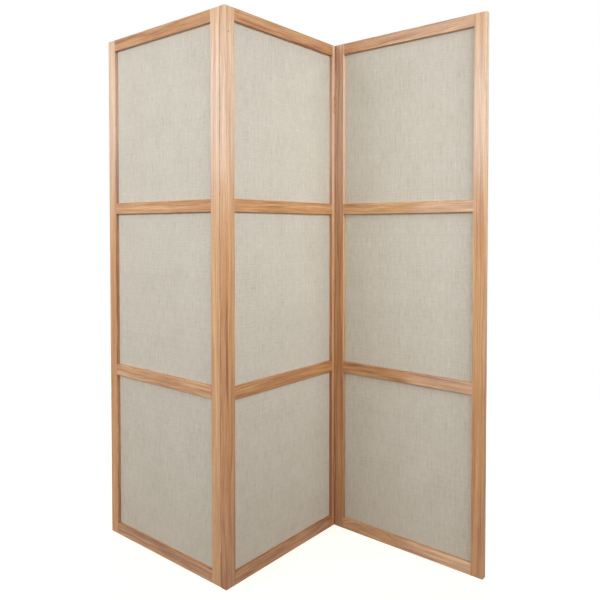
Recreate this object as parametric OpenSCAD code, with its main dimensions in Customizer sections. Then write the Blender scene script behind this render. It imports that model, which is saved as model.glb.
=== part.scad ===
// Folding screen of three framed panels, joined by two rows of butt hinges.
// X runs along the centre panel, Y towards its back, Z up from the floor.
// The origin is on the floor, under the middle of the centre panel.
// At rest both outer panels stand square to the centre panel. The left one is behind it and the
// right one in front, each with its end against the centre panel's face.

/* [Panels] */
// Width of each panel, mm
panel_w = 585; // [360:5:900]
// Height of each panel, mm
panel_h = 1800; // [1200:10:2200]
// Thickness of the stiles and rails, mm
frame_t = 25; // [22:0.5:40]
// Width of each stile, seen from the front, mm
stile_w = 40; // [32:1:80]
// Height of each rail, seen from the front, mm
rail_h = 40; // [32:1:80]
// Radius of the eased wood edges, mm
arris_r = 2; // [0.5:0.25:3]

/* [Joinery] */
// Thickness of the rail tenons, mm
tenon_t = 8; // [6:0.5:12]
// Length of the rail tenons, mm
tenon_l = 25; // [15:1:28]
// Wood left between a tenon and the infill groove, mm
tenon_shoulder = 1; // [0.5:0.5:4]
// Clearance round a tenon in its mortise, mm
tenon_fit = 0.1; // [0.05:0.05:0.3]
// Spare depth of a mortise past its tenon, mm
mortise_spare = 0.8; // [0.2:0.1:3]

/* [Infill] */
// Depth of the cloth behind the front of the frame, mm
front_recess = 12; // [8:0.5:13]
// Thickness of the infill boards, mm
board_t = 3; // [2:0.5:5]
// Thickness of the linen on each face of a board, mm
linen_t = 0.5; // [0.3:0.1:1]
// Depth of the groove that holds an infill board, mm
groove_depth = 7; // [4:0.5:10]
// Clearance of the infill in its groove, each side, mm
groove_fit = 0.1; // [0.05:0.05:0.3]
// Gap between a board's edge and the bottom of its groove, mm
board_edge_gap = 0.8; // [0.3:0.1:2]

/* [Hinges] */
// Length of each hinge, mm
hinge_l = 60; // [40:1:90]
// Distance from a panel's end to the near end of its outer hinge, mm
hinge_inset = 190; // [80:5:300]
// Number of knuckles on each hinge
knuckle_count = 5; // [3:2:7]
// Gap between neighbouring knuckles, mm
knuckle_gap = 0.3; // [0.2:0.05:0.6]
// Outer diameter of the knuckles, mm
barrel_d = 5; // [4.5:0.25:7]
// Diameter of the hinge pins, mm
pin_d = 2.6; // [2:0.1:3]
// Radial clearance of a pin in the knuckles, mm
pin_fit = 0.04; // [0.02:0.01:0.1]
// Diameter of the heads that close a pin, mm
pin_head_d = 4.4; // [4:0.1:5]
// Height of the heads that close a pin, mm
pin_head_t = 1.4; // [0.8:0.1:3]
// Clearance between the knuckles and the wood, mm
barrel_clear = 0.3; // [0.2:0.05:1]
// Thickness of a hinge leaf, mm
leaf_t = 1.5; // [1.2:0.1:1.9]
// Overlap of the fixed leaf and its knuckles, mm
leaf_root = 0.3; // [0.2:0.05:0.4]
// Gap between the two leaves of a closed hinge, mm
leaf_gap = 0.6; // [0.3:0.1:1.5]
// How far the leaves stop short of the frame's outer face, mm
leaf_margin = 4; // [3:0.5:6]
// How far the fixed leaf runs on past the middle of its knuckles, mm
leaf_tail = 1.2; // [0.5:0.1:2.2]
// Gap between a leaf's edge and its recess in the wood, mm
leaf_fit = 0.1; // [0.05:0.05:0.3]

/* [Screws] */
// Diameter of the hinge screws, mm
screw_d = 3; // [2.5:0.1:3.5]
// Diameter of the countersunk screw heads, mm
screw_head_d = 5.4; // [5:0.1:6]
// Length of the hinge screws, mm
screw_l = 16; // [10:1:18]
// Length of a screw's point, mm
screw_point = 3; // [1:0.5:5]
// Number of screws in each leaf
screw_count = 3; // [2:1:4]
// Sideways offset of neighbouring screws, mm
screw_stagger = 3; // [0:0.5:4]
// Radial clearance of a screw in its hole, mm
screw_fit = 0.05; // [0.03:0.01:0.1]
// Spare depth of a screw hole past the screw's point, mm
hole_spare = 0.5; // [0.2:0.1:2]
// Width of the cross slot in a screw head, mm
slot_w = 0.7; // [0.4:0.1:1]
// Length of the cross slot in a screw head, mm
slot_l = 3; // [2:0.1:3.5]
// Depth of the cross slot in a screw head, mm
slot_depth = 0.8; // [0.4:0.1:1]

/* [Hidden] */
$fn = 48;

PANELS = ["left", "centre", "right"];
FOLDS = ["left", "right"];
RAILS = ["bottom", "lower", "upper", "top"];
FIELDS = ["bottom", "middle", "top"];
HINGES = ["bottom", "middle", "top"];

// The panels' stiles and rails, and the three cloth fields between them
field_w = panel_w - 2 * stile_w;
field_h = (panel_h - len(RAILS) * rail_h) / len(FIELDS);
field_step = field_h + rail_h;

// The infill, measured from the front of its frame
infill_t = board_t + 2 * linen_t;
board_y = front_recess + linen_t;
board_in = groove_depth - board_edge_gap;
board_w = field_w + 2 * board_in;
board_h = field_h + 2 * board_in;

// The rail tenons
tenon_inset = groove_depth + tenon_shoulder;
tenon_h = rail_h - 2 * tenon_inset;

// The hinges. Their sizes set the gap between an outer panel's end and the centre panel's face.
barrel_r = barrel_d / 2;
axis_off = barrel_r + barrel_clear;
bore_r = pin_d / 2 + pin_fit;
leaf_proud = barrel_clear + leaf_root;
leaf_let = leaf_t - leaf_proud;
fold_gap = leaf_proud + leaf_gap;
leaf_w = frame_t - leaf_margin;
knuckle_l = (hinge_l - (knuckle_count - 1) * knuckle_gap) / knuckle_count;
knuckle_step = knuckle_l + knuckle_gap;
hinge_step = (panel_h - 2 * hinge_inset - hinge_l) / (len(HINGES) - 1);

// The screws
head_r = screw_head_d / 2;
screw_r = screw_d / 2;
head_depth = head_r - screw_r;
screw_step = hinge_l / screw_count;

// How far a cut runs past the surface that it opens
cut = 1;

wood = [0.80, 0.58, 0.38];
linen = [0.80, 0.77, 0.71];
board = [0.62, 0.50, 0.38];
metal = [0.72, 0.58, 0.34];

function stile_name(p, side) = str(p, "_panel_", side, "_stile");
function rail_name(p, r) = str(p, "_panel_", r, "_rail");
function board_name(p, f) = str(p, "_panel_", f, "_board");
function linen_name(p, f) = str(p, "_panel_", f, "_linen");
function hinge_name(fold, h, piece) = str(fold, "_fold_", h, "_", piece);
function screws_name(fold, leaf) = str(fold, "_fold_", leaf, "_leaf_screws");

// Heights of the rails, fields and hinges, counted from the floor up
function rail_z(i) = i * field_step;
function field_z(i) = rail_h + i * field_step;
function hinge_z(i) = hinge_inset + i * hinge_step;

// Moves a panel from its own frame, with its front at y = 0 and its left end at x = 0, to its place
module place_panel(p) {
  if (p == "centre")
    translate([-panel_w / 2, -frame_t / 2, 0]) children();
  else if (p == "left")
    translate([-panel_w / 2, frame_t / 2 + fold_gap + panel_w, 0]) rotate(-90) children();
  else
    translate([panel_w / 2 - frame_t, -frame_t / 2 - fold_gap, 0]) rotate(-90) children();
}

// Moves a fold from its own frame to its place. There the centre panel's face is y = 0, the outer
// panel's inner face is x = 0, and the outer panel runs along +Y from y = fold_gap.
module place_fold(fold) {
  rotate(fold == "left" ? 0 : 180)
    translate([-panel_w / 2 + frame_t, frame_t / 2, 0]) children();
}

// Rectangle with round corners, from the origin into +X and +Y
module round_rect(a, b, r) {
  translate([r, 0]) square([a - 2 * r, b]);
  translate([0, r]) square([a, b - 2 * r]);
  for (x = [r, a - r], y = [r, b - r])
    translate([x, y]) circle(r);
}

// Bar along X with all four long edges eased
module bar_x(length, depth, height) {
  rotate([90, 0, 90]) linear_extrude(length) round_rect(depth, height, arris_r);
}

// Space that the infill of one field takes in the frame, with its clearances
module infill_pocket(i) {
  translate([stile_w - groove_depth, front_recess - groove_fit, field_z(i) - groove_depth])
    cube([field_w + 2 * groove_depth, infill_t + 2 * groove_fit, field_h + 2 * groove_depth]);
}

// Tenons at both ends of rail i, grown by the given clearance and lengthened by the given spare
module tenons(i, fit = 0, spare = 0) {
  translate([stile_w - tenon_l - spare, (frame_t - tenon_t) / 2 - fit, rail_z(i) + tenon_inset - fit])
    cube([field_w + 2 * (tenon_l + spare), tenon_t + 2 * fit, tenon_h + 2 * fit]);
}

// Full-height stile at the panel's left end, before the hinge recesses. Its inner edges are eased
// along the cloth fields, and stay square where the rails meet it.
module left_stile_blank() {
  difference() {
    intersection() {
      union() {
        linear_extrude(panel_h) round_rect(stile_w, frame_t, arris_r);
        for (i = [0 : len(RAILS) - 1])
          translate([stile_w / 2, 0, rail_z(i)]) cube([stile_w / 2, frame_t, rail_h]);
      }
      bar_x(stile_w, frame_t, panel_h);
    }
    for (i = [0 : len(FIELDS) - 1]) infill_pocket(i);
    for (i = [0 : len(RAILS) - 1]) tenons(i, tenon_fit, mortise_spare);
  }
}

module stile(p, side) {
  color(wood) difference() {
    place_panel(p)
      if (side == "left") left_stile_blank();
      else translate([panel_w, 0, 0]) mirror([1, 0, 0]) left_stile_blank();
    if (p == "centre") place_fold(side) fixed_leaf_cuts();
    if (p == "left" && side == "right") place_fold("left") moving_leaf_cuts();
    if (p == "right" && side == "left") place_fold("right") moving_leaf_cuts();
  }
}

module rail(p, i) {
  color(wood) place_panel(p) difference() {
    union() {
      translate([stile_w, 0, rail_z(i)]) bar_x(field_w, frame_t, rail_h);
      tenons(i);
    }
    if (i > 0) infill_pocket(i - 1);
    if (i < len(FIELDS)) infill_pocket(i);
  }
}

module infill_board(p, i) {
  color(board) place_panel(p)
    translate([stile_w - board_in, board_y, field_z(i) - board_in])
      cube([board_w, board_t, board_h]);
}

// The linen on both faces of one board
module infill_linen(p, i) {
  color(linen) place_panel(p)
    for (y = [board_y - linen_t, board_y + board_t])
      translate([stile_w - board_in, y, field_z(i) - board_in])
        cube([board_w, linen_t, board_h]);
}

// Centres of the screws of one leaf, as [distance from the inner edge, height above its end]
function screw_spots() = [
  for (k = [0 : screw_count - 1])
    [leaf_w / 2 + (k % 2 == 0 ? -screw_stagger : screw_stagger) / 2, (k + 0.5) * screw_step]
];

// Countersunk screw along -Z with its flat head at z = 0, or the hole for it
module screw_body(fit = 0, spare = 0) {
  shank = screw_l - head_depth - screw_point;
  translate([0, 0, -head_depth]) cylinder(head_depth, screw_r + fit, head_r + fit);
  translate([0, 0, -head_depth - shank - spare]) cylinder(shank + spare, r = screw_r + fit);
  translate([0, 0, -screw_l - spare]) cylinder(screw_point, fit, screw_r + fit);
}

module screw() {
  difference() {
    screw_body();
    for (turn = [0, 90])
      rotate(turn) translate([-slot_l / 2, -slot_w / 2, -slot_depth])
        cube([slot_l, slot_w, slot_depth + cut]);
  }
}

// Puts a screw, or its hole, at each place in the fixed leaf at the fold's frame
module at_fixed_screws(h) {
  for (s = screw_spots())
    translate([-s[0], leaf_proud, hinge_z(h) + s[1]]) rotate([-90, 0, 0]) children();
}

// The same for the moving leaf, whose screws point the other way
module at_moving_screws(h) {
  for (s = screw_spots())
    translate([-s[0], fold_gap, hinge_z(h) + s[1]]) rotate([90, 0, 0]) children();
}

// The knuckles of one leaf: the even ones are fixed and the odd ones move
module at_knuckles(h, first) {
  for (k = [first : 2 : knuckle_count - 1])
    translate([0, 0, hinge_z(h) + k * knuckle_step]) children();
}

module pin_bore(h) {
  translate([axis_off, axis_off, hinge_z(h) - cut]) cylinder(hinge_l + 2 * cut, r = bore_r);
}

module fixed_leaf(fold, h) {
  color(metal) place_fold(fold) difference() {
    union() {
      translate([-leaf_w, -leaf_let, hinge_z(h)]) cube([leaf_w, leaf_t, hinge_l]);
      at_knuckles(h, 0) {
        translate([0, -leaf_let, 0]) cube([axis_off + leaf_tail, leaf_t, knuckle_l]);
        translate([axis_off, axis_off, 0]) cylinder(knuckle_l, r = barrel_r);
      }
    }
    pin_bore(h);
    at_fixed_screws(h) screw_body(screw_fit);
  }
}

module moving_leaf(fold, h) {
  color(metal) place_fold(fold) difference() {
    union() {
      translate([-leaf_w, fold_gap, hinge_z(h)]) cube([leaf_w, leaf_t, hinge_l]);
      at_knuckles(h, 1) {
        translate([0, fold_gap, 0]) cube([axis_off, leaf_t, knuckle_l]);
        translate([axis_off, axis_off, 0]) cylinder(knuckle_l, r = barrel_r);
      }
    }
    pin_bore(h);
    at_moving_screws(h) screw_body(screw_fit);
  }
}

module hinge_pin(fold, h) {
  color(metal) place_fold(fold) translate([axis_off, axis_off, hinge_z(h)]) {
    cylinder(hinge_l, r = pin_d / 2);
    translate([0, 0, hinge_l]) cylinder(pin_head_t, pin_head_d / 2, pin_d / 2);
    translate([0, 0, -pin_head_t]) cylinder(pin_head_t, pin_d / 2, pin_head_d / 2);
  }
}

module fixed_screws(fold) {
  color(metal) place_fold(fold)
    for (h = [0 : len(HINGES) - 1]) at_fixed_screws(h) screw();
}

module moving_screws(fold) {
  color(metal) place_fold(fold)
    for (h = [0 : len(HINGES) - 1]) at_moving_screws(h) screw();
}

// Recesses and screw holes for the fixed leaves, in the centre panel's face
module fixed_leaf_cuts() {
  for (h = [0 : len(HINGES) - 1]) {
    translate([-leaf_w - leaf_fit, -leaf_let, hinge_z(h) - leaf_fit])
      cube([leaf_w + axis_off + leaf_tail + 2 * leaf_fit, leaf_let + cut, hinge_l + 2 * leaf_fit]);
    at_fixed_screws(h) screw_body(screw_fit, hole_spare);
  }
}

// Recesses and screw holes for the moving leaves, in an outer panel's end
module moving_leaf_cuts() {
  for (h = [0 : len(HINGES) - 1]) {
    translate([-leaf_w - leaf_fit, fold_gap - cut, hinge_z(h) - leaf_fit])
      cube([leaf_w + leaf_fit + cut, leaf_t + cut, hinge_l + 2 * leaf_fit]);
    at_moving_screws(h) screw_body(screw_fit, hole_spare);
  }
}

for (p = PANELS) {
  for (side = ["left", "right"])
    stile(p, side);
  for (i = [0 : len(RAILS) - 1])
    rail(p, i);
  for (i = [0 : len(FIELDS) - 1]) {
    infill_board(p, i);
    infill_linen(p, i);
  }
}
for (fold = FOLDS) {
  for (h = [0 : len(HINGES) - 1]) {
    fixed_leaf(fold, h);
    moving_leaf(fold, h);
    hinge_pin(fold, h);
  }
  fixed_screws(fold);
  moving_screws(fold);
}
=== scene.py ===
"""Looks of a folding screen: three oak frames, each with three fields of natural linen.

Everything is in metres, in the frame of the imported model. Sizes of finishes and patterns, such as
rings, pores and threads, are given in millimetres, because their shader nodes work in millimetres.
"""
import math
import random

import bpy
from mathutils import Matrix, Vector, noise


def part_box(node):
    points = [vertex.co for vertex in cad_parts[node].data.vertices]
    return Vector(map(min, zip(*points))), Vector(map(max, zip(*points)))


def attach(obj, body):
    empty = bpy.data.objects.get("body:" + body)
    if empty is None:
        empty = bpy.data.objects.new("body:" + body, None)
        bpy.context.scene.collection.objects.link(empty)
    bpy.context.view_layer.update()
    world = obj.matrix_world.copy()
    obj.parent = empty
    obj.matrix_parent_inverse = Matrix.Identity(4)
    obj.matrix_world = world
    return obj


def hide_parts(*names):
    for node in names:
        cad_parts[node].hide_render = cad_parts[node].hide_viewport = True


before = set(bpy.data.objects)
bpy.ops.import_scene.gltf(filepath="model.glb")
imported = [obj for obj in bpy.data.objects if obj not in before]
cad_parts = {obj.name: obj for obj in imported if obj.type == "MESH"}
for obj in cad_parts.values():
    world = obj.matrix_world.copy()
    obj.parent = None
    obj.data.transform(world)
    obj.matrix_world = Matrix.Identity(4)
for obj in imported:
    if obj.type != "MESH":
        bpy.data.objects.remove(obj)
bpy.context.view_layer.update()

MM = 0.001
X, Y, Z = 0, 1, 2

# Names of the pieces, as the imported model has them
PANELS = ("left", "centre", "right")
FIELDS = ("bottom", "middle", "top")
STILES = ("left_stile", "right_stile")
RAILS = ("bottom_rail", "lower_rail", "upper_rail", "top_rail")
FOLDS = ("left", "right")
SIDES = ("front", "back")


def srgb(red, green, blue):
    """A colour of 0 to 255 as seen on a screen, in Blender's linear light."""
    linear = []
    for value in (red, green, blue):
        share = value / 255
        linear.append(share / 12.92 if share <= 0.04045 else ((share + 0.055) / 1.055) ** 2.4)
    return (*linear, 1.0)


class Nodes:
    """A node tree. Each method adds a node or a few, and returns the last one's output."""

    def __init__(self, tree):
        self.tree = tree
        tree.nodes.clear()

    def node(self, kind, inputs, output=0, **settings):
        """A node with these settings. Each input is the output of another node, or a value."""
        made = self.tree.nodes.new(kind)
        for setting, value in settings.items():
            setattr(made, setting, value)
        for socket, value in inputs.items():
            if isinstance(value, bpy.types.NodeSocket):
                self.tree.links.new(value, made.inputs[socket])
            else:
                made.inputs[socket].default_value = value
        return made.outputs[output] if len(made.outputs) else None

    def math(self, operation, *values):
        return self.node("ShaderNodeMath", dict(enumerate(values)), operation=operation)

    def sum(self, start, *pairs):
        """The start, plus each pair's value times its weight."""
        for value, weight in pairs:
            start = self.math("MULTIPLY_ADD", value, weight, start)
        return start

    def off_middle(self, value):
        """How far a value of 0 to 1 is from its middle."""
        return self.math("SUBTRACT", value, 0.5)

    def vary(self, start, *pairs):
        """A sum in which each pair's value of 0 to 1 is counted from its middle."""
        return self.sum(start, *((self.off_middle(value), weight) for value, weight in pairs))

    def swing(self, value, reach):
        """How far a value of 0 to 1 is off its middle, times the reach."""
        return self.math("MULTIPLY", self.off_middle(value), reach)

    def combine(self, x, y, z):
        return self.node("ShaderNodeCombineXYZ", {X: x, Y: y, Z: z})

    def spot(self, *parts):
        """A spot in a pattern, from three parts.

        A part is a number, or a pair: a coordinate, and the pattern's features in a millimetre.
        """
        return self.combine(*(self.math("MULTIPLY", *part) if isinstance(part, tuple) else part
                              for part in parts))

    def far_from(self, spot, shift):
        """Another spot, so far off that a pattern has nothing to do with itself there."""
        return self.node("ShaderNodeVectorMath", {0: spot, 1: shift}, operation="ADD")

    def distance(self, x, y):
        """How far a point in a plane is from the plane's origin."""
        return self.node("ShaderNodeVectorMath", {0: self.combine(x, y, 0.0)}, "Value",
                         operation="LENGTH")

    def noise(self, spot, detail=2.0, roughness=0.5):
        """Cloud noise of 0 to 1 around 0.5, with features about one unit of the spot wide."""
        inputs = {"Vector": spot, "Scale": 1.0, "Detail": detail, "Roughness": roughness}
        return self.node("ShaderNodeTexNoise", inputs, "Fac")

    def random(self, value):
        """A fixed random number of 0 to 1 for each whole number."""
        return self.node("ShaderNodeTexWhiteNoise", {"W": value}, "Value", noise_dimensions="1D")

    def fade(self, value, low, high, start=0.0, end=1.0):
        """Smooth change from start to end as the value goes from low to high."""
        inputs = {"Value": value, "From Min": low, "From Max": high, "To Min": start, "To Max": end}
        return self.node("ShaderNodeMapRange", inputs, interpolation_type="SMOOTHSTEP")

    def choose(self, share, first, second):
        """The first number where the share is 0, and the second where it is 1."""
        return self.node("ShaderNodeMix", {0: share, 2: first, 3: second})

    def mix(self, share, first, second, blend="MIX"):
        """The first colour where the share is 0, and the second where it is 1."""
        return self.node("ShaderNodeMix", {0: share, 6: first, 7: second}, 2,
                         data_type="RGBA", blend_type=blend)

    def three_colours(self, tone, first, middle, last):
        """From the first colour through the middle to the last, as the tone goes from 0 to 1."""
        lower = self.mix(self.fade(tone, 0.0, 0.5), first, middle)
        return self.mix(self.fade(tone, 0.5, 1.0), lower, last)


class Finish(Nodes):
    """One new material."""

    def __init__(self, name):
        self.material = bpy.data.materials.new(name)
        self.material.use_nodes = True
        super().__init__(self.material.node_tree)

    def place(self):
        """Three outputs: where the surface point is at rest, in millimetres."""
        place = self.node("ShaderNodeTexCoord", {}, "Object")
        scaled = self.node("ShaderNodeVectorMath", {0: place, "Scale": 1 / MM}, operation="SCALE")
        return tuple(self.node("ShaderNodeSeparateXYZ", {0: scaled}).node.outputs)

    def bump(self, height, strength, distance):
        inputs = {"Strength": strength, "Distance": distance, "Height": height}
        return self.node("ShaderNodeBump", inputs)

    def end(self, shader):
        self.node("ShaderNodeOutputMaterial", {"Surface": shader})
        return self.material

    def surface(self, **inputs):
        """Ends the material in one Principled shader. Underscores in names stand for spaces."""
        named = {name.replace("_", " "): value for name, value in inputs.items()}
        return self.end(self.node("ShaderNodeBsdfPrincipled", named))


# Oak, with oil that leaves a satin gloss
OAK_PALE = srgb(228, 181, 131)
OAK_MEAN = srgb(200, 143, 91)
OAK_DARK = srgb(156, 91, 45)
OAK_PORE = srgb(110, 68, 38)
OAK_GLINT = (0.66, 0.95, 1.0, 1.0)
OAK_IOR = 1.55
OAK_BUMP = 0.12 * MM
OAK_BUMP_STRENGTH = 0.3

# Growth rings: their width, the shares of it where the dark, porous early wood ends and the late
# wood starts to darken, and how dark the late wood gets, where early wood starts at 1
RING_WIDTH = 2.6
EARLY_END, LATE_START = 0.45, 0.75
LATE_TONE = 0.35

# Features in a millimetre, across the fibres and along them. Bands and lines are counted from ring
# to ring, and lines along the fibres come from the cut's figure. The trunk's bends lie along them.
RIPPLE_RATES = (0.05, 0.006)
FIBRE_RATES = (1.3, 0.018)
PORE_RATES = (3.6, 0.13)
BAND_RATES = (0.11, 0.0022)
LINE_RATE = 0.38
BEND_RATE = 0.0035

# How far the rings ripple, in millimetres. How far they bend is the wander of each piece.
RIPPLE_REACH = 6.0

# The pith's place, times these, shifts the patterns, so that each piece has its own
BEND_SHIFTS = (0.31, 0.17)
BAND_SHIFT = 0.7
LINE_SHIFT = 0.9
FAR_BEND = (7.3, 2.1, 5.9)

# Pores show where the noise passes this range, sooner in early wood
PORE_RANGE = (0.60, 0.70)
PORE_IN_EARLY = 0.10

# How much each pattern adds to the colour's depth, to the relief and to the roughness
RING_DEPTH, RING_SHADE_DEPTH, BAND_DEPTH, FIBRE_DEPTH = 0.20, 0.20, 1.1, 0.8
PORE_COLOUR_SHARE = 0.45
FIBRE_RELIEF, PORE_RELIEF, RING_RELIEF = 0.15, -0.8, -0.1
OAK_ROUGHNESS, FIBRE_ROUGHNESS, PORE_ROUGHNESS = 0.33, 0.12, 0.16

# Gloss is drawn out a quarter of a turn from the fibres. The lean gives the fibres a direction on
# end grain too, which faces along them.
GLOSS_TURN = 0.25
FIBRE_LEAN = 0.04

# How deep the colour is at a stile's foot and head, 0 to 1. Each stile has its own tone, and
# every head is paler than its foot as painted light, standing in for the brighter light near the
# top. The right panel's left stile stays deep up to its head, partly as painted shade of the
# valley.
STILE_TONE_AND_PAINTED_LIGHT = {
    "left_panel_left_stile": (0.44, 0.36), "left_panel_right_stile": (0.40, 0.24),
    "centre_panel_left_stile": (0.78, 0.34), "centre_panel_right_stile": (0.64, 0.14),
    "right_panel_left_stile": (0.70, 0.66), "right_panel_right_stile": (0.56, 0.30),
}
# A stile's colour changes over this share of its length, from its foot
STILE_CHANGE = 0.6

# How deep the colour of each rail is, from bottom to top, and how far it changes along the rail
RAIL_DEPTH = {
    "left": (0.68, 0.42, 0.45, 0.52),
    "centre": (0.70, 0.57, 0.36, 0.62),
    "right": (0.36, 0.58, 0.38, 0.52),
}
RAIL_CHANGE = 0.04

# Painted light on the reveal of some stiles, at their edge next to the cloth: how much deeper the
# colour is there, at foot and head. Above 0 it is painted shade in the recess, and below 0 a
# painted highlight. On all three that edge is on the low side of the axis across the panel. The
# change is in full up to the first of two distances from the edge, and gone at the second.
REVEAL_PAINTED_LIGHT = {
    "left_panel_left_stile": (0.25, 0.25),
    "centre_panel_right_stile": (0.40, 0.55),
    "right_panel_left_stile": (0.15, -0.65),
}
EDGE_START, EDGE_END = 0.6, 2.4

# Marks of the ridge's stile: a dark streak, as its middle, width, foot, head and rise in tone, and
# a pin knot, as its middle, height and radius
RIDGE_STILE = "centre_panel_left_stile"
RIDGE_STREAK = (-287.0, 8.0, 560.0, 960.0, 0.55)
RIDGE_KNOT = (-278.5, 1722.0, 2.4)

# Shares of a streak's length: where it is in full from its foot, and where it starts to fade
STREAK_FULL, STREAK_FADES = 0.3, 0.5

# A knot is longer than wide, and ends softly between these shares of its radius
KNOT_LENGTH = 1.6
KNOT_EDGE = (0.6, 1.3)
KNOT_SHADE = 0.85

# How the wood is cut: how far the pith lies from the middle of the piece, to its side and behind
# it, how far its rings wander, each as a range, and its figure, which is the strength of its narrow
# lines and how many of them follow each other in a metre. Rings cut the face of a stile, as on
# rift-sawn wood, and lie flat in a rail, as on flat-sawn wood.
STILE_CUT = ((70, 120), (40, 90), (14, 22), (1.2, 4.5))
RAIL_CUT = ((25, 60), (35, 60), (14, 24), (1.6, 8.0))
WOOD_SEED = 11


def fibre_noise(finish, side, face, along, rates, **kind):
    """Noise that is drawn out along the fibres."""
    across_rate, along_rate = rates
    spot = finish.spot((side, across_rate), (face, across_rate), (along, along_rate))
    return finish.noise(spot, **kind)


def ring_radius(finish, side, face, along, pith, wander):
    """How far the surface point is from the pith, in millimetres."""
    # The trunk bends slowly, which draws long waves and arches on a flat face
    bend = finish.spot((along, BEND_RATE), pith[0] * BEND_SHIFTS[0], pith[1] * BEND_SHIFTS[1])
    bend_side = finish.swing(finish.noise(bend), wander)
    bend_face = finish.swing(finish.noise(finish.far_from(bend, FAR_BEND)), wander)
    ripple = finish.swing(fibre_noise(finish, side, face, along, RIPPLE_RATES, detail=3.0),
                          RIPPLE_REACH)
    from_side = finish.math("ADD", finish.math("SUBTRACT", side, pith[0]), bend_side)
    from_face = finish.math("ADD", finish.math("SUBTRACT", face, pith[1]), bend_face)
    return finish.math("ADD", finish.distance(from_side, from_face), ripple)


def oak(name, grain, reach, pith, wander, depth, figure, edge=None, streak=None, knot=None):
    """Oak of one stile or rail.

    grain is the axis along the member. pith is where the tree's middle lies from the world's
    origin on the other two axes. wander is how far the rings bend along the member. depth is 0 for
    the palest wood and 1 for the darkest, and changes slowly from its first value to its second
    between the two places of reach on the grain's axis; a stile's paler head is painted light.
    figure is that of the cut. edge is painted shade and a painted highlight on a stile's reveal
    next to the cloth. streak and knot are marks in the wood.
    """
    line_depth, lines_per_metre = figure
    finish = Finish(name)
    axes = finish.place()
    along = axes[grain]
    side, face = [axes[axis] for axis in (X, Y, Z) if axis != grain]
    # On a stile, the paler head is painted light from above
    depth = finish.fade(along, *reach, *depth)

    radius = ring_radius(finish, side, face, along, pith, wander)
    rings = finish.math("DIVIDE", radius, RING_WIDTH)
    ring_share = finish.math("FRACT", rings)
    ring_shade = finish.random(finish.math("FLOOR", rings))
    early = finish.fade(ring_share, 0.0, EARLY_END, 1.0, 0.0)
    late = finish.fade(ring_share, LATE_START, 1.0, 0.0, LATE_TONE)
    ring_tone = finish.math("MAXIMUM", early, late)

    # Broad bands of growth, some 9 mm wide and half a metre long, and narrower lines in them
    band_spot = finish.spot((radius, BAND_RATES[0]), pith[0] * BAND_SHIFT, (along, BAND_RATES[1]))
    band = finish.noise(band_spot)
    line_spot = finish.spot((radius, LINE_RATE), pith[1] * LINE_SHIFT,
                            (along, lines_per_metre * MM))
    line = finish.noise(line_spot, roughness=0.6)

    fibre = fibre_noise(finish, side, face, along, FIBRE_RATES, detail=3.0, roughness=0.65)
    pore_noise = fibre_noise(finish, side, face, along, PORE_RATES, detail=1.0)
    pore = finish.fade(finish.sum(pore_noise, (early, PORE_IN_EARLY)), *PORE_RANGE)

    tone = finish.sum(depth, (ring_tone, RING_DEPTH))
    tone = finish.vary(tone, (ring_shade, RING_SHADE_DEPTH), (band, BAND_DEPTH),
                       (line, line_depth), (fibre, FIBRE_DEPTH))
    # Painted shade and painted highlight on the stile's reveal next to the cloth
    if edge:
        axis, edge_place, reveal_painted_light = edge
        near = finish.fade(axes[axis], edge_place + EDGE_START, edge_place + EDGE_END, 1.0, 0.0)
        tone = finish.sum(tone, (near, finish.fade(along, *reach, *reveal_painted_light)))
    if streak:
        tone = finish.math("ADD", tone, dark_streak(finish, side, along, streak))
    colour = finish.three_colours(tone, OAK_PALE, OAK_MEAN, OAK_DARK)
    colour = finish.mix(finish.math("MULTIPLY", pore, PORE_COLOUR_SHARE), colour, OAK_PORE)
    if knot:
        colour = finish.mix(dark_knot(finish, side, along, knot), colour, OAK_PORE)

    relief = finish.sum(0.0, (fibre, FIBRE_RELIEF), (pore, PORE_RELIEF), (ring_tone, RING_RELIEF))
    roughness = finish.sum(OAK_ROUGHNESS, (fibre, FIBRE_ROUGHNESS), (pore, PORE_ROUGHNESS))

    # Wood fibres scatter gloss sideways, across the grain
    fibre_way = [FIBRE_LEAN] * 3
    fibre_way[grain] = 1.0
    fibre_turned = finish.node("ShaderNodeVectorTransform", {"Vector": finish.combine(*fibre_way)},
                               vector_type="VECTOR", convert_from="OBJECT", convert_to="WORLD")
    return finish.surface(Base_Color=colour, Roughness=roughness, IOR=OAK_IOR,
                          Normal=finish.bump(relief, OAK_BUMP_STRENGTH, OAK_BUMP),
                          Specular_IOR_Level=1.0, Specular_Tint=OAK_GLINT,
                          Anisotropic=1.0, Anisotropic_Rotation=GLOSS_TURN, Tangent=fibre_turned)


def dark_streak(finish, side, along, streak):
    """A long dark mark in the wood, as a rise in tone."""
    middle, width, foot, head, rise = streak
    length = head - foot
    off = finish.math("ABSOLUTE", finish.math("SUBTRACT", side, middle))
    near = finish.fade(off, 0.0, width, 1.0, 0.0)
    above = finish.fade(along, foot, foot + length * STREAK_FULL)
    below = finish.fade(along, foot + length * STREAK_FADES, head, 1.0, 0.0)
    inside = finish.math("MULTIPLY", above, below)
    return finish.math("MULTIPLY", finish.math("MULTIPLY", near, inside), rise)


def dark_knot(finish, side, along, knot):
    """A pin knot, as a share of dark colour."""
    middle, height, radius = knot
    across = finish.math("DIVIDE", finish.math("SUBTRACT", side, middle), radius)
    up = finish.math("DIVIDE", finish.math("SUBTRACT", along, height), radius * KNOT_LENGTH)
    return finish.fade(finish.distance(across, up), *KNOT_EDGE, KNOT_SHADE, 0.0)


# Natural linen in plain weave: the width of its threads, its colours, and the share of light that
# the gaps between its threads keep
THREAD = 0.95
LINEN_PALE = srgb(224, 218, 203)
LINEN_MEAN = srgb(208, 201, 185)
LINEN_DARK = srgb(180, 172, 153)
GAP_LIGHT = 0.72
GAP_RANGE = (0.05, 0.45)

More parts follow.
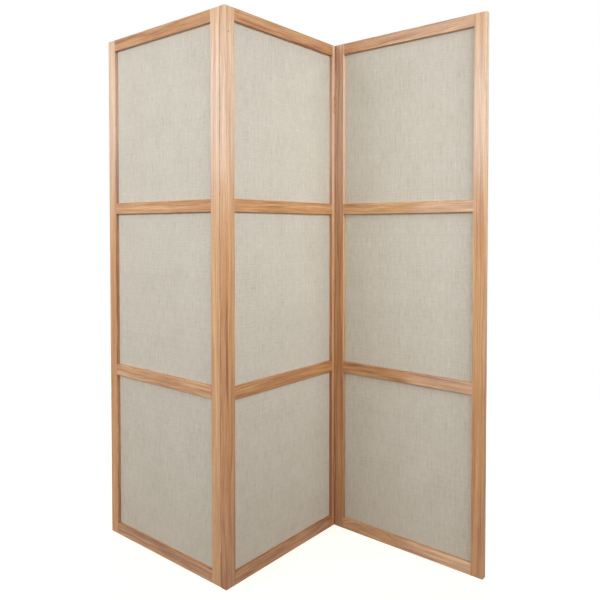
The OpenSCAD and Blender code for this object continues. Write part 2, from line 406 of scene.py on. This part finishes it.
# The threads wander by this many of their widths, with this many bends in a millimetre
DRIFT_REACH = 2.2
DRIFT_RATE = 0.03
FAR_DRIFT = (31.0, 17.0, 5.0)

# A thread sinks to this share of its height where it goes under the next one
THREAD_LOW = 0.4

# Features in a millimetre, across the panel and up it
WARP_SLUB_RATES = (0.36, 0.020)
WEFT_SLUB_RATES = (0.035, 0.36)
CLOUD_RATES = (0.010, 0.007)

# How much each pattern changes the tone
SHADE_TONE, WARP_SLUB_TONE, WEFT_SLUB_TONE, CLOUD_TONE = 0.36, 1.1, 0.75, 0.3

# These keep the patterns of one cloth from looking alike
WARP_SHADE_STEP, WEFT_SHADE_STEP, WEFT_SHADE_START = 7.0, 13.0, 5000.0
WEFT_SLUB_SHIFT, CLOUD_SHIFT = 3.0, 9.0

LINEN_BUMP = 0.15 * MM
LINEN_BUMP_STRENGTH = 0.4
SLUB_RELIEF = 0.8
LINEN_ROUGHNESS, LUMP_ROUGHNESS = 0.92, -0.08
LINEN_IOR = 1.45


def threads(finish, place, drift):
    """(number of the thread here, and its round top, 0 to 1), for threads side by side."""
    count = finish.math("ADD", finish.math("DIVIDE", place, THREAD),
                        finish.swing(finish.noise(drift), DRIFT_REACH))
    half_turn = finish.math("MULTIPLY", finish.math("FRACT", count), math.pi)
    return finish.math("FLOOR", count), finish.math("SINE", half_turn)


def linen(name, across_axis, seed):
    """Linen whose threads run up and across a panel."""
    finish = Finish(name)
    axes = finish.place()
    across, up = axes[across_axis], axes[Z]

    # The threads wander a little, so that the weave isn't a ruled grid
    drift = finish.spot((across, DRIFT_RATE), (up, DRIFT_RATE), seed)
    warp_number, warp_round = threads(finish, across, drift)
    weft_number, weft_round = threads(finish, up, finish.far_from(drift, FAR_DRIFT))

    # The warp is on top where the numbers of the two threads add up to an odd one
    numbers = finish.math("ADD", warp_number, weft_number)
    half_left = finish.math("FRACT", finish.math("MULTIPLY", numbers, 0.5))
    warp_on_top = finish.math("GREATER_THAN", half_left, 0.25)

    def lump_of(own_round, other_round):
        """Height of a thread that goes over another."""
        share = finish.sum(THREAD_LOW, (other_round, 1 - THREAD_LOW))
        return finish.math("MULTIPLY", own_round, share)

    lump = finish.choose(warp_on_top, lump_of(weft_round, warp_round),
                         lump_of(warp_round, weft_round))

    # Each thread has its own shade, and slubs along it
    warp_shade = finish.random(finish.math("ADD", warp_number, seed * WARP_SHADE_STEP))
    weft_shade = finish.random(finish.math("ADD", weft_number,
                                           seed * WEFT_SHADE_STEP + WEFT_SHADE_START))
    shade = finish.choose(warp_on_top, weft_shade, warp_shade)

    def cloth_noise(rates, shift, **kind):
        """Noise with these rates across and up."""
        return finish.noise(finish.spot((across, rates[0]), (up, rates[1]), seed + shift), **kind)

    warp_slub = cloth_noise(WARP_SLUB_RATES, 0.0, detail=3.0, roughness=0.6)
    weft_slub = cloth_noise(WEFT_SLUB_RATES, WEFT_SLUB_SHIFT, detail=3.0, roughness=0.6)
    cloud = cloth_noise(CLOUD_RATES, CLOUD_SHIFT)
    tone = finish.vary(0.5, (shade, SHADE_TONE), (warp_slub, WARP_SLUB_TONE),
                       (weft_slub, WEFT_SLUB_TONE), (cloud, CLOUD_TONE))
    colour = finish.three_colours(tone, LINEN_DARK, LINEN_MEAN, LINEN_PALE)
    gap = finish.fade(lump, *GAP_RANGE, GAP_LIGHT, 1.0)
    colour = finish.mix(1.0, colour, finish.combine(gap, gap, gap), "MULTIPLY")

    relief = finish.sum(lump, (warp_slub, SLUB_RELIEF))
    roughness = finish.sum(LINEN_ROUGHNESS, (lump, LUMP_ROUGHNESS))
    return finish.surface(Base_Color=colour, Roughness=roughness, IOR=LINEN_IOR,
                          Normal=finish.bump(relief, LINEN_BUMP_STRENGTH, LINEN_BUMP),
                          Sheen_Weight=0.12, Sheen_Roughness=0.5)


# Fibreboard: its colours, its flecks in a millimetre along the world's Y axis, the parts of their
# noise over which the colour and the roughness change, and its least and most roughness
BOARD_DARK, BOARD_PALE = srgb(128, 96, 68), srgb(164, 130, 96)
FLECK_RATE_Y = 2.0
FLECK_COLOUR_RANGE = (0.35, 0.65)
FLECK_ROUGHNESS_RANGE = (0.3, 0.7)
BOARD_ROUGHNESS = (0.75, 0.9)
BOARD_BUMP = 0.2 * MM
BOARD_BUMP_STRENGTH = 0.3


def fibreboard(name):
    """Hidden infill boards: brown fibreboard with flecks."""
    finish = Finish(name)
    x, y, z = finish.place()
    fleck = finish.noise(finish.spot(x, (y, FLECK_RATE_Y), z), detail=4.0, roughness=0.7)
    colour = finish.mix(finish.fade(fleck, *FLECK_COLOUR_RANGE), BOARD_DARK, BOARD_PALE)
    roughness = finish.fade(fleck, *FLECK_ROUGHNESS_RANGE, *BOARD_ROUGHNESS)
    return finish.surface(Base_Color=colour, Roughness=roughness,
                          Normal=finish.bump(fleck, BOARD_BUMP_STRENGTH, BOARD_BUMP))


# Bronze near the oak's own colour. Its brushing and its dull spots are in features in a millimetre.
BRONZE_BRIGHT, BRONZE_DULL = srgb(194, 148, 112), srgb(174, 130, 98)
BRUSH_ACROSS, BRUSH_ALONG = 9.0, 0.35
DULL_RATE = 0.2
DULL_RANGE = (0.35, 0.7)
BRONZE_ROUGHNESS, BRUSH_ROUGHNESS = 0.42, 0.16
BRONZE_BUMP = 0.05 * MM
BRONZE_BUMP_STRENGTH = 0.15

# Step of the bronze's seed from fold to fold
FOLD_SEED = 3.0


def bronze(name, seed):
    """Satin bronze, brushed along the hinge and slightly dulled."""
    finish = Finish(name)
    x, y, z = finish.place()
    brush_spot = finish.spot((x, BRUSH_ACROSS), (y, BRUSH_ACROSS), (z, BRUSH_ALONG))
    brush = finish.noise(brush_spot, detail=3.0, roughness=0.6)
    dull_spot = finish.spot((x, DULL_RATE), (y, DULL_RATE), finish.sum(seed, (z, DULL_RATE)))
    dull = finish.fade(finish.noise(dull_spot, detail=3.0), *DULL_RANGE)
    return finish.surface(Base_Color=finish.mix(dull, BRONZE_BRIGHT, BRONZE_DULL), Metallic=1.0,
                          Roughness=finish.sum(BRONZE_ROUGHNESS, (brush, BRUSH_ROUGHNESS)),
                          Normal=finish.bump(brush, BRONZE_BUMP_STRENGTH, BRONZE_BUMP))


def wear(node, material):
    """Gives a CAD node its finish, in its object's own slots."""
    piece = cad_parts[node]
    if not piece.material_slots:
        piece.data.materials.append(None)
    for slot in piece.material_slots:
        slot.link = "OBJECT"
        slot.material = material


def panel_axes(panel):
    """(axis across the panel, axis through it)."""
    return (X, Y) if panel == "centre" else (Y, X)


def dress_wood():
    """Gives every stile and rail a piece of oak of its own."""
    chance = random.Random(WOOD_SEED)
    for panel in PANELS:
        across, through = panel_axes(panel)
        for member in STILES + RAILS:
            node = f"{panel}_panel_{member}"
            low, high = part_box(node)
            middle = (low + high) / 2 / MM
            is_stile = member in STILES
            grain, side = (Z, across) if is_stile else (across, Z)
            beside, behind, stray, figure = STILE_CUT if is_stile else RAIL_CUT
            away = {side: chance.choice((-1, 1)) * chance.uniform(*beside),
                    through: chance.uniform(*behind)}
            pith = tuple(middle[axis] + away[axis] for axis in sorted(away))
            wander = chance.uniform(*stray)
            if is_stile:
                # A stile's own tone, with its paler head as painted light from above
                depth, share = STILE_TONE_AND_PAINTED_LIGHT[node], STILE_CHANGE
            else:
                mean_depth = RAIL_DEPTH[panel][RAILS.index(member)]
                change = chance.uniform(-RAIL_CHANGE, RAIL_CHANGE)
                depth, share = (mean_depth - change, mean_depth + change), 1.0
            reach = (low[grain] / MM, (low[grain] + share * (high[grain] - low[grain])) / MM)
            marks = {}
            if node == RIDGE_STILE:
                marks = {"streak": RIDGE_STREAK, "knot": RIDGE_KNOT}
            # Painted shade and painted highlight on the reveal next to the cloth
            if node in REVEAL_PAINTED_LIGHT:
                marks = {"edge": (across, low[across] / MM, REVEAL_PAINTED_LIGHT[node])}
            wear(node, oak(f"oak_{node}", grain, reach, pith, wander, depth, figure, **marks))


# Linen sheets: the size of their cells, and how the stretched cloth swells and ripples off its
# board inside a flat hem. Ripples are counted in a metre, and are longer upward by the stretch.
SHEET_CELL = 12 * MM
SHEET_HEM = 16 * MM
SHEET_SWELL = 0.20 * MM
SHEET_RIPPLE = 0.10 * MM
RIPPLE_SCALE = 9.0
RIPPLE_STRETCH = 0.6
BOARD_CLEARANCE = 0.02 * MM
SHARP_ANGLE = math.radians(30)

# Steps of the seed from panel to panel, and from side to side or field to field
CLOTH_SEEDS = (20.0, 3.0)
SHEET_SEEDS = (10.0, 3.0)


def put_in_scene(name, data):
    """A new object with this mesh, lamp or camera."""
    piece = bpy.data.objects.new(name, data)
    bpy.context.scene.collection.objects.link(piece)
    return piece


def sheet_relief(across, up, width, height, seed):
    """How far a stretched sheet stands off its flat face, here, in metres."""
    rim = min(across, width - across, up, height - up)
    inside = min(max((rim - SHEET_HEM / 2) / SHEET_HEM, 0.0), 1.0)
    # The usual cubic, level at both ends
    inside = inside * inside * (3 - 2 * inside)
    swell = SHEET_SWELL * math.sin(math.pi * across / width) * math.sin(math.pi * up / height)
    spot = Vector((across * RIPPLE_SCALE, up * RIPPLE_SCALE * RIPPLE_STRETCH, seed))
    return inside * (swell + SHEET_RIPPLE * noise.noise(spot))


def closed_grid_faces(columns, rows):
    """Faces of two grids of points, the outer and then the inner, closed round their rim."""
    def at(layer, column, row):
        return (layer * (rows + 1) + row) * (columns + 1) + column

    faces = []
    for row in range(rows):
        for column in range(columns):
            ring = [(column, row), (column + 1, row), (column + 1, row + 1), (column, row + 1)]
            faces.append([at(0, *spot) for spot in ring])
            faces.append([at(1, *spot) for spot in reversed(ring)])
    rim = [(column, 0) for column in range(columns)]
    rim += [(columns, row) for row in range(rows)]
    rim += [(column, rows) for column in range(columns, 0, -1)]
    rim += [(0, row) for row in range(rows, 0, -1)]
    for here, there in zip(rim, rim[1:] + rim[:1]):
        faces.append([at(0, *there), at(0, *here), at(1, *here), at(1, *there)])
    return faces


def linen_sheet(panel, field, side, seed):
    """One face of linen, as a thin closed mesh between the board and the CAD linen's outer face."""
    board = f"{panel}_panel_{field}_board"
    cloth = f"{panel}_panel_{field}_linen"
    board_low, board_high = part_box(board)
    cloth_low, cloth_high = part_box(cloth)
    across, through = panel_axes(panel)
    if side == "front":
        outer, inner, outward = cloth_low[through], board_low[through], -1
    else:
        outer, inner, outward = cloth_high[through], board_high[through], 1
    inner += outward * BOARD_CLEARANCE
    width = board_high[across] - board_low[across]
    height = board_high[Z] - board_low[Z]
    columns, rows = round(width / SHEET_CELL), round(height / SHEET_CELL)

    corners = []
    for layer in ("outer", "inner"):
        for row in range(rows + 1):
            for column in range(columns + 1):
                aside, up = width * column / columns, height * row / rows
                corner = Vector()
                corner[across] = board_low[across] + aside
                corner[through] = inner
                if layer == "outer":
                    relief = sheet_relief(aside, up, width, height, seed)
                    corner[through] = outer + outward * relief
                corner[Z] = board_low[Z] + up
                corners.append(corner)
    faces = closed_grid_faces(columns, rows)
    # The faces run round the other way where width, height and outward make a left-handed set
    if (across == X) == (outward == 1):
        faces = [face[::-1] for face in faces]

    mesh = bpy.data.meshes.new(f"{cloth}_{side}")
    mesh.from_pydata(corners, [], faces)
    mesh.validate()
    mesh.shade_smooth()
    mesh.set_sharp_from_angle(angle=SHARP_ANGLE)
    piece = put_in_scene(f"{cloth}_{side}", mesh)
    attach(piece, f"{panel}_panel")
    return piece


def dress_fields():
    """Linen on both faces of every board, in place of the CAD linen."""
    for panel_number, panel in enumerate(PANELS):
        across, _ = panel_axes(panel)
        cloths = {}
        for side_number, side in enumerate(SIDES):
            seed = CLOTH_SEEDS[0] * panel_number + CLOTH_SEEDS[1] * side_number
            cloths[side] = linen(f"linen_{panel}_{side}", across, seed)
        for field_number, field in enumerate(FIELDS):
            for side, cloth in cloths.items():
                seed = SHEET_SEEDS[0] * panel_number + SHEET_SEEDS[1] * field_number
                piece = linen_sheet(panel, field, side, seed + (side == "back"))
                piece.data.materials.append(cloth)
                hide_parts(f"{panel}_panel_{field}_linen")


def dress_hidden_pieces():
    """Boards, hinges and screws."""
    board_finish = fibreboard("fibreboard")
    for panel in PANELS:
        for field in FIELDS:
            wear(f"{panel}_panel_{field}_board", board_finish)
    for fold_number, fold in enumerate(FOLDS):
        plate, pin, screw = (bronze(f"bronze_{fold}_{part}", FOLD_SEED * fold_number + number)
                             for number, part in enumerate(("leaves", "pins", "screws")))
        for hinge in FIELDS:
            wear(f"{fold}_fold_{hinge}_fixed_leaf", plate)
            wear(f"{fold}_fold_{hinge}_moving_leaf", plate)
            wear(f"{fold}_fold_{hinge}_pin", pin)
        wear(f"{fold}_fold_fixed_leaf_screws", screw)
        wear(f"{fold}_fold_moving_leaf_screws", screw)


# The studio's light
KEY_COLOUR = (0.95, 0.99, 1.07)
FILL_COLOUR = (1.0, 0.98, 0.94)
WHITE = (1.0, 1.0, 1.0, 1.0)
WORLD_LEVEL = 0.25

# Soft lamps: name, place, target, width, height, power in watts, colour, and the beam's angle in
# degrees
SOFTBOXES = (
    ("left_softbox", (-3.2, 0.7, 2.2), (0.0, 0.1, 1.3), 2.6, 1.2, 31.0, KEY_COLOUR, 110),
    ("front_softbox", (-0.5, -2.5, 2.1), (0.0, 0.0, 1.25), 2.6, 1.2, 19.6, KEY_COLOUR, 90),
    ("back_softbox", (2.7, 2.1, 2.3), (0.0, 0.0, 1.2), 4.4, 3.0, 120.0, KEY_COLOUR, 160),
    ("top_softbox", (-0.5, -0.5, 3.5), (-0.3, -0.3, 0.0), 3.0, 3.0, 14.0, FILL_COLOUR, 180),
)

# The floor lights the screen in its own warm colour. Where it is seen, its own glow is added, and
# it turns to plain white between these distances from the origin, in millimetres.
FLOOR_COLOUR = (0.43, 0.33, 0.23, 1.0)
FLOOR_SIZE = 40.0
FLOOR_GLOW = 0.80
FLOOR_NEAR, FLOOR_FAR = 1600.0, 3200.0

# The photograph's view. The lens's axis meets the picture at this row, above its middle.
PHOTO_SIZE = 600
LENS_ROW = 245
SENSOR_WIDTH = 36
CAMERA_LENS = 37.485
CAMERA_PLACE = (-1.6191, -1.4005, 1.1188)
CAMERA_HEADING = math.radians(50.5)
CAMERA_DIP = math.radians(1.443)


def seen_or_mirrored(nodes):
    """1 on camera, glossy and transmission rays, else 0."""
    rays = nodes.node("ShaderNodeLightPath", {}).node.outputs
    camera_or_glossy = nodes.math("MAXIMUM", rays["Is Camera Ray"], rays["Is Glossy Ray"])
    return nodes.math("MAXIMUM", camera_or_glossy, rays["Is Transmission Ray"])


def white_floor():
    """A white floor that keeps a soft shadow near the screen and is plain white further off."""
    finish = Finish("white_floor")
    x, y, _ = finish.place()
    seen = seen_or_mirrored(finish)
    lit = finish.node("ShaderNodeBsdfDiffuse", {"Color": FLOOR_COLOUR})
    glow_strength = finish.math("MULTIPLY", seen, FLOOR_GLOW)
    glow = finish.node("ShaderNodeEmission", {"Strength": glow_strength})
    near = finish.node("ShaderNodeAddShader", {0: lit, 1: glow})
    white = finish.node("ShaderNodeEmission", {"Strength": 1.0})
    far = finish.node("ShaderNodeMixShader", {0: seen, 1: lit, 2: white})
    away = finish.fade(finish.distance(x, y), FLOOR_NEAR, FLOOR_FAR)
    finish.end(finish.node("ShaderNodeMixShader", {0: away, 1: near, 2: far}))

    half = FLOOR_SIZE / 2
    corners = [(-half, -half, 0), (half, -half, 0), (half, half, 0), (-half, half, 0)]
    mesh = bpy.data.meshes.new("floor")
    mesh.from_pydata(corners, [], [(0, 1, 2, 3)])
    mesh.materials.append(finish.material)
    floor = put_in_scene("floor", mesh)


def white_world():
    """Even fill light, seen as plain white."""
    world = bpy.data.worlds.new("studio")
    world.use_nodes = True
    nodes = Nodes(world.node_tree)
    fill = nodes.node("ShaderNodeBackground",
                      {"Color": (*FILL_COLOUR, 1.0), "Strength": WORLD_LEVEL})
    white = nodes.node("ShaderNodeBackground", {"Color": WHITE, "Strength": 1.0})
    either = nodes.node("ShaderNodeMixShader", {0: seen_or_mirrored(nodes), 1: fill, 2: white})
    nodes.node("ShaderNodeOutputWorld", {"Surface": either})
    bpy.context.scene.world = world


def softbox(name, place, target, width, height, power, colour, spread):
    """A soft lamp that the camera doesn't see."""
    lamp = bpy.data.lights.new(name, "AREA")
    lamp.shape = "RECTANGLE"
    lamp.size, lamp.size_y = width, height
    lamp.energy = power
    lamp.color = colour
    lamp.spread = math.radians(spread)
    piece = put_in_scene(name, lamp)
    piece.location = place
    piece.rotation_euler = (Vector(target) - Vector(place)).to_track_quat("-Z", "Y").to_euler()
    piece.visible_camera = False


def photo_camera():
    """The photograph's camera."""
    camera = bpy.data.cameras.new("camera")
    camera.sensor_width = SENSOR_WIDTH
    camera.lens = CAMERA_LENS
    camera.shift_y = (LENS_ROW - PHOTO_SIZE / 2) / PHOTO_SIZE
    piece = put_in_scene("camera", camera)
    piece.location = CAMERA_PLACE
    piece.rotation_euler = (math.pi / 2 - CAMERA_DIP, 0.0, -CAMERA_HEADING)
    bpy.context.scene.camera = piece


photo_camera()
white_world()
white_floor()
for settings in SOFTBOXES:
    softbox(*settings)

dress_wood()
dress_fields()
dress_hidden_pieces()

bpy.context.scene.view_settings.view_transform = "Standard"
